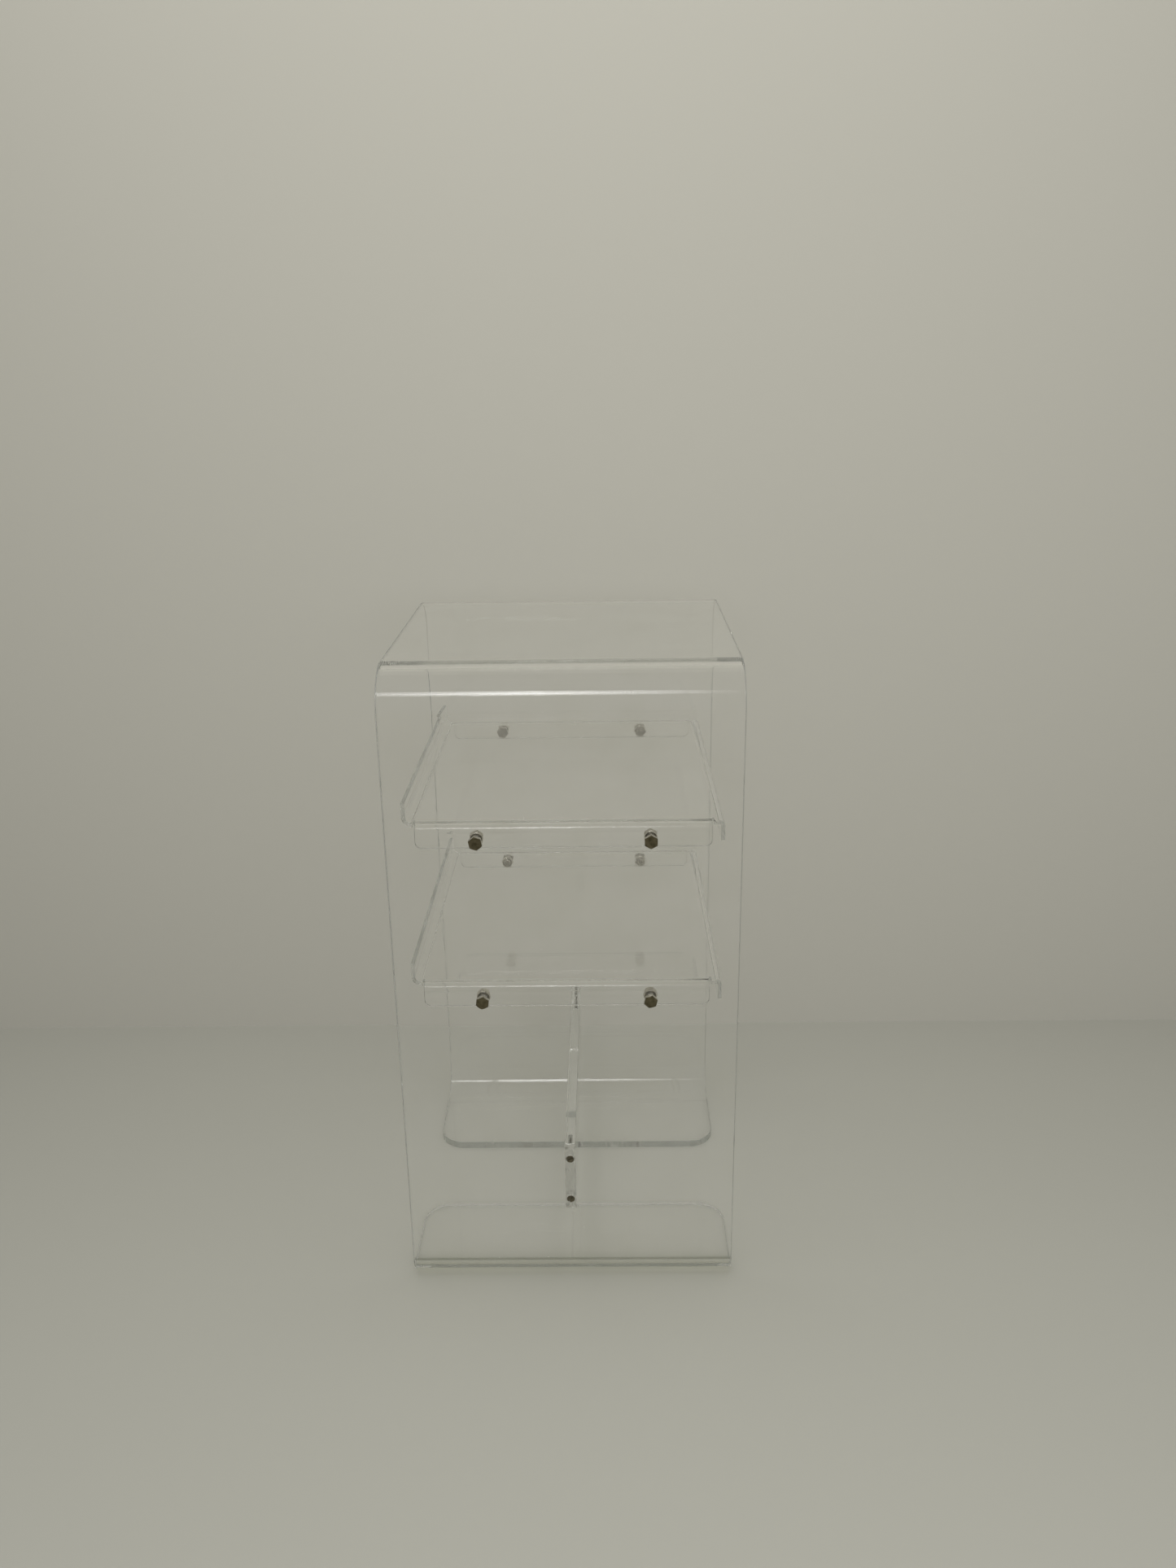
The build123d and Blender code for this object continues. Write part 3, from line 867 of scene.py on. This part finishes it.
def dulled_steel(name, clean_hex, dull_hex, rubbed_hex, least_rough, most_rough):
    """A metal that is blotched between two colours and rubbed bright along its edges."""
    material, tree, output = new_material(name)
    place = add_node(tree, "TexCoord").outputs["Object"]
    blotches = add_node(tree, "TexNoise", {
        "Vector": place, "Scale": 1 / PATINA, "Detail": 5.0, "Roughness": 0.6})
    aged = add_node(tree, "MapRange", {
        "Value": blotches.outputs[0], "From Min": AGED_FROM, "From Max": AGED_TO})
    grain = add_node(tree, "TexNoise", {"Vector": place, "Scale": 1 / GRAIN, "Detail": 2.0})
    skin = add_node(tree, "MixRGB", {0: aged.outputs[0], 1: linear(clean_hex), 2: linear(dull_hex)})

    rounded = add_node(tree, "Bevel", {"Radius": RUBBED_WIDTH}, samples=4)
    facing = add_node(tree, "NewGeometry").outputs["Normal"]
    agree = add_node(tree, "VectorMath", {0: rounded.outputs[0], 1: facing}, operation="DOT_PRODUCT")
    edge = add_node(tree, "MapRange", {
        "Value": agree.outputs["Value"], "From Min": RUBBED_FROM, "From Max": RUBBED_TO})
    touched = add_node(tree, "Math", {0: edge.outputs[0], 1: grain.outputs[0]}, operation="MULTIPLY")
    colour = add_node(tree, "MixRGB", {0: touched.outputs[0], 1: skin.outputs[0], 2: linear(rubbed_hex)})

    rough = add_node(tree, "MapRange", {
        "Value": aged.outputs[0], "To Min": least_rough, "To Max": most_rough})
    pits = add_node(tree, "Bump", {
        "Height": grain.outputs[0], "Strength": PIT_STRENGTH, "Distance": PIT_DEPTH})
    metal = add_node(tree, "BsdfPrincipled", {
        "Base Color": colour.outputs[0], "Metallic": 1.0, "Roughness": rough.outputs[0],
        "Normal": pits.outputs[0]})
    tree.links.new(metal.outputs[0], output.inputs["Surface"])
    return material


# Bright plating on threads and sides, which catches a lamp in small hard glints.
zinc = dulled_steel(
    "steel, zinc plated", "#DEDBD1", "#B3AEA1", "#F2F0E9", least_rough=0.2, most_rough=0.36)
# Painted reflection: the front bolts' ends are painted almost black, with a soft brownish sheen, as if they
# mirrored a dark room in front.
painted_dark_end = dulled_steel(
    "steel, zinc plated, ends painted as a dark reflection", "#716A56", "#544E3B", "#8F8977", least_rough=0.3, most_rough=0.5)
# Dulled ends are a middle grey, which sets the nuts and the back bolts off from their bright sides.
grey_end = dulled_steel(
    "steel, zinc plated and dulled", "#918C80", "#6C675B", "#D2CEC2", least_rough=0.22, most_rough=0.42)
# Oiled bare steel is dark and soft in its gloss, so that the slots still read.
plain_steel = dulled_steel(
    "steel, turned and left plain", "#7D7768", "#5E594C", "#ACA89A", least_rough=0.22, most_rough=0.42)
print("steels:", [m.name for m in (zinc, painted_dark_end, grey_end, plain_steel)])

# %% [markdown]
# ## Threads
# A thread is a ridge wound round a rod, one turn to each pitch, with a narrow flat crest, straight flanks
# and a wider flat root. A bump in the finish would leave its outline smooth, so the section of one ridge is
# carried round the rod while it climbs, with turns to spare, and the ends are then cut square. Heights are
# counted from the underside of the head for both the bolt and its nut, so the two threads mesh as real ones
# do.

# %% Wind a thread
# Each corner of the ridge is given as its share of the pitch and its share of the depth.
THREAD_FORM = ((0.0, 1.0), (1 / 8, 1.0), (7 / 16, 0.0), (11 / 16, 0.0))
THREAD_DEPTH = 0.6134  # in pitches
TURNS_BELOW, SPARE_TURNS = 1, 4


def wind_row(work, radius, turns, pitch, limit):
    """One turn of a line on the thread, which starts that many turns up."""
    row = []
    for step, angle in enumerate(LATHE_ANGLES):
        height = (turns + step / LATHE_STEPS) * pitch
        trimmed = limit(radius, height)
        row.append(work.verts.new((trimmed * math.cos(angle), trimmed * math.sin(angle), height)))
    return row


def wind_thread(major, pitch, start, end, limit):
    """A thread from one height to another, open at both ends; limit trims the radius at a height."""
    work = bmesh.new()
    rows = []
    first_turn = math.floor(start / pitch) - TURNS_BELOW
    for turn in range(math.ceil((end - start) / pitch) + SPARE_TURNS):
        for share, raised in THREAD_FORM:
            radius = major / 2 - (1 - raised) * THREAD_DEPTH * pitch
            rows.append(wind_row(work, radius, first_turn + turn + share, pitch, limit))
    ridge = len(THREAD_FORM)
    for low in range(len(rows) - ridge - 1):
        for step in range(LATHE_STEPS):
            climb, beside = divmod(step + 1, LATHE_STEPS)
            next_low = low + climb * ridge
            work.faces.new((
                rows[low][step], rows[next_low][beside], rows[next_low + 1][beside], rows[low + 1][step]))
    for height, away in ((start, -1), (end, 1)):
        bmesh.ops.bisect_plane(work, geom=work.verts[:] + work.edges[:] + work.faces[:], dist=TINY,
                               plane_co=(0, 0, height), plane_no=(0, 0, away), clear_outer=True)
    bmesh.ops.delete(work, geom=[v for v in work.verts if not v.link_faces], context="VERTS")
    return work


def close_end(work, height):
    """Fills whatever is open at a height: a round end, or the space between two rims."""
    open_edges = [e for e in work.edges if e.is_boundary]
    rims = [e for e in open_edges if all(abs(v.co.z - height) < 2 * TINY for v in e.verts)]
    bmesh.ops.triangle_fill(work, edges=rims, use_beauty=True, normal=(0, 0, 1))


print("a thread ridge has", len(THREAD_FORM), "corners")

# %% [markdown]
# ## Bolts and nuts
# The shelves hang on eight M8 bolts, each 20 mm long and threaded up to its head. Heads and nuts are forged
# hexagons whose corners were turned off at thirty degrees, which leaves the curved lines on their sides. A
# hexagon is therefore a ring whose points rise or fall where the turning cone cut them. Its sharp edges are
# then broken, so that they catch the light.

# %% Shape a hexagon
HEX_FLATS, HEX_FACE = 13 * MM, 12.4 * MM
CHAMFER = math.radians(30)
SIXTH_TURN = math.pi / 3
WASHER_FACE = 11.6 * MM
BROKEN_EDGE, SHARP = 0.18 * MM, math.radians(40)


def hexagon(height, turn, chamfer_way):
    """Points round a hexagon about Z; a chamfer lowers or raises them where a cone cuts the corners."""
    points = []
    for angle in LATHE_ANGLES:
        from_flat = (angle + SIXTH_TURN / 2) % SIXTH_TURN - SIXTH_TURN / 2
        reach = HEX_FLATS / 2 / math.cos(from_flat)
        drop = chamfer_way * (reach - HEX_FACE / 2) * math.tan(CHAMFER)
        turned = angle + math.radians(turn)
        points.append(Vector((reach * math.cos(turned), reach * math.sin(turned), height + drop)))
    return points


def break_edges(work, low, high):
    """Rounds the sharp outside edges that lie between two heights."""
    sharp = [e for e in work.edges if e.is_manifold and e.calc_face_angle() > SHARP
             and all(low < v.co.z < high and v.co.xy.length > WASHER_FACE / 2 + TINY for v in e.verts)]
    bmesh.ops.bevel(work, geom=sharp, offset=BROKEN_EDGE, segments=2, profile=0.5, affect="EDGES",
                    clamp_overlap=True)


print("hexagon:", round(HEX_FLATS / MM), "mm across its flats")

# %% [markdown]
# A bolt is its thread with the tip turned down, a low round washer face and the head. A nut is a wider thread
# inside a hexagon, with its two mouths opened out. Both are made along Z, with the underside of the bolt's
# head at the origin and the nut where it grips. The finish of a bolt's end covers the chamfer too: it is a
# painted dark reflection on the front bolts and a dulled grey on the back ones. On a nut only the flat ends
# are dulled.

# %% Make a bolt and a nut
SIDE, END = 0, 1
HEAD_HEIGHT, WASHER_RISE = 5.3 * MM, 0.4 * MM
BOLT_DIAMETER, BOLT_PITCH, BOLT_LENGTH, TIP = 8 * MM, 1.25 * MM, 20 * MM, 0.9 * MM
GRIP, NUT_HEIGHT = 13 * MM, 6.5 * MM
NUT_MOUTH, THREAD_PLAY = 8.7 * MM, 0.12 * MM
SEAT_GAP = 0.05 * MM
CHAMFER_AND_END, END_ALONE = 0.5, 0.9  # how far along Z a face has to look


def make_bolt(turn):
    """A bolt along Z with the underside of its head at the origin."""
    tip_radius = BOLT_DIAMETER / 2 - TIP
    work = wind_thread(BOLT_DIAMETER, BOLT_PITCH, -SEAT_GAP, BOLT_LENGTH,
                       lambda radius, z: min(radius, tip_radius + max(BOLT_LENGTH - z, 0)))
    close_end(work, BOLT_LENGTH)
    loft(work, [
        ring(WASHER_FACE / 2, -SEAT_GAP), ring(WASHER_FACE / 2, -WASHER_RISE),
        hexagon(-WASHER_RISE, turn, 0), hexagon(-HEAD_HEIGHT, turn, 1),
        ring(HEX_FACE / 2, -HEAD_HEIGHT), [Vector((0, 0, -HEAD_HEIGHT))],
    ])
    close_end(work, -SEAT_GAP)
    break_edges(work, -HEAD_HEIGHT, 0)
    for face in work.faces:
        face.normal_update()
        middle = face.calc_center_median().z
        at_end = middle < -HEAD_HEIGHT / 2 or middle > BOLT_LENGTH - TINY
        face.material_index = END if at_end and abs(face.normal.z) > CHAMFER_AND_END else SIDE
    return work


def make_nut(turn):
    """A nut where it sits on its bolt."""
    low, high = GRIP + SEAT_GAP, GRIP + NUT_HEIGHT
    work = wind_thread(BOLT_DIAMETER + THREAD_PLAY, BOLT_PITCH, low, high,
                       lambda radius, z: max(radius, NUT_MOUTH / 2 - abs(min(z - low, high - z))))
    loft(work, [
        ring(HEX_FACE / 2, low), hexagon(low, turn, 1), hexagon(high, turn, -1), ring(HEX_FACE / 2, high)])
    for height in (low, high):
        close_end(work, height)
    break_edges(work, low, high)
    for face in work.faces:
        face.normal_update()
        face.material_index = END if abs(face.normal.z) > END_ALONE else SIDE
    return work


print("bolt: M8, gripping", round(GRIP / MM), "mm of acrylic")

# %% [markdown]
# Each bolt and nut stays as the spanner left it, so every one has its own turn. The lower back bolts have
# their heads behind the rack, and all the others have them on the side of the front.

# %% Fit the bolts and nuts
HEAD_TURN = {
    "upper_front_left": -10, "upper_front_right": 0, "upper_back_left": -21, "upper_back_right": -25,
    "lower_front_left": 7, "lower_front_right": 13, "lower_back_left": -16, "lower_back_right": 9,
}
NUT_TURN = {
    "upper_front_left": 4, "upper_front_right": -3, "upper_back_left": 12, "upper_back_right": -20,
    "lower_front_left": -14, "lower_front_right": 22, "lower_back_left": 24, "lower_back_right": 0,
}

for place in HEAD_TURN:
    low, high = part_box(f"{place}_bolt")
    head_behind = place.startswith("lower_back")
    seat = high.y - HEAD_HEIGHT if head_behind else low.y + HEAD_HEIGHT
    spot = Matrix.Translation(((low.x + high.x) / 2, seat, (low.z + high.z) / 2))
    spot = spot @ Matrix.Rotation(QUARTER_TURN if head_behind else -QUARTER_TURN, 4, "X")
    # The front bolts' ends take the painted dark reflection, and the back bolts' ends the dulled grey.
    fitted = {
        "bolt": (make_bolt(HEAD_TURN[place]), painted_dark_end if "front" in place else grey_end),
        "nut": (make_nut(NUT_TURN[place]), grey_end),
    }
    for kind, (work, end_finish) in fitted.items():
        name = f"plated_{place}_{kind}"
        mesh = to_mesh(name, work, [zinc, end_finish], spot)
        show(name, mesh, f"{place}_{kind}")
print("bolts and nuts:", len(HEAD_TURN) + len(NUT_TURN))

# %% [markdown]
# ## Slotted screws
# Four M5 countersunk screws hold the bar, with their heads flush in the panels. A head is a flat disc with
# a thin rim and a cone under it, down to the thread. The slot is milled across it after turning, so it is cut
# out of the finished shape here too. Each slot has its own turn.

# %% Make and fit the screws
SCREW_DIAMETER, SCREW_PITCH, SCREW_LENGTH, SCREW_TIP = 5 * MM, 0.8 * MM, 30 * MM, 0.7 * MM
SCREW_HEAD, SCREW_RIM, SCREW_CONE = 9 * MM, 0.1 * MM, 1.95 * MM
SLOT_WIDTH, SLOT_DEPTH = 1.2 * MM, 1.1 * MM
SLOT_TURN = {"front_upper": -25, "front_lower": -60, "back_upper": -35, "back_lower": 80}


def trim_tip(radius, z):
    """Narrows the last of the thread to the screw's tip."""
    return min(radius, SCREW_DIAMETER / 2 - SCREW_TIP + max(SCREW_LENGTH - z, 0))


widest = SCREW_HEAD / 2 - SCREW_RIM
slot_size = Matrix.Diagonal((2 * SCREW_HEAD, SLOT_WIDTH, 2 * SLOT_DEPTH, 1))
for place, turn in SLOT_TURN.items():
    node = f"stretcher_{place}_screw"
    low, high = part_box(node)
    work = wind_thread(SCREW_DIAMETER, SCREW_PITCH, SCREW_CONE, SCREW_LENGTH, trim_tip)
    close_end(work, SCREW_LENGTH)
    loft(work, [
        [Vector((0, 0, 0))], ring(widest - SCREW_RIM, 0), ring(widest, SCREW_RIM),
        ring(SCREW_HEAD / 2 - SCREW_CONE, SCREW_CONE),
    ])
    close_end(work, SCREW_CONE)
    cutter = bmesh.new()
    slot_turn = Matrix.Rotation(math.radians(turn), 4, "Z")
    bmesh.ops.create_cube(cutter, size=1.0, matrix=slot_turn @ slot_size)
    front = place.startswith("front")
    spot = Matrix.Translation(((low.x + high.x) / 2, low.y if front else high.y, (low.z + high.z) / 2))
    spot = spot @ Matrix.Rotation(-QUARTER_TURN if front else QUARTER_TURN, 4, "X")
    screw = carve(to_mesh(node, work, [plain_steel], spot), to_mesh("slot", cutter, [], spot))
    show(f"slotted_{node}", screw, node)
print("screws:", len(SLOT_TURN))

# %% [markdown]
# ## The end
# Finishes must not change the size of the rack.

# %% The end
print("done")
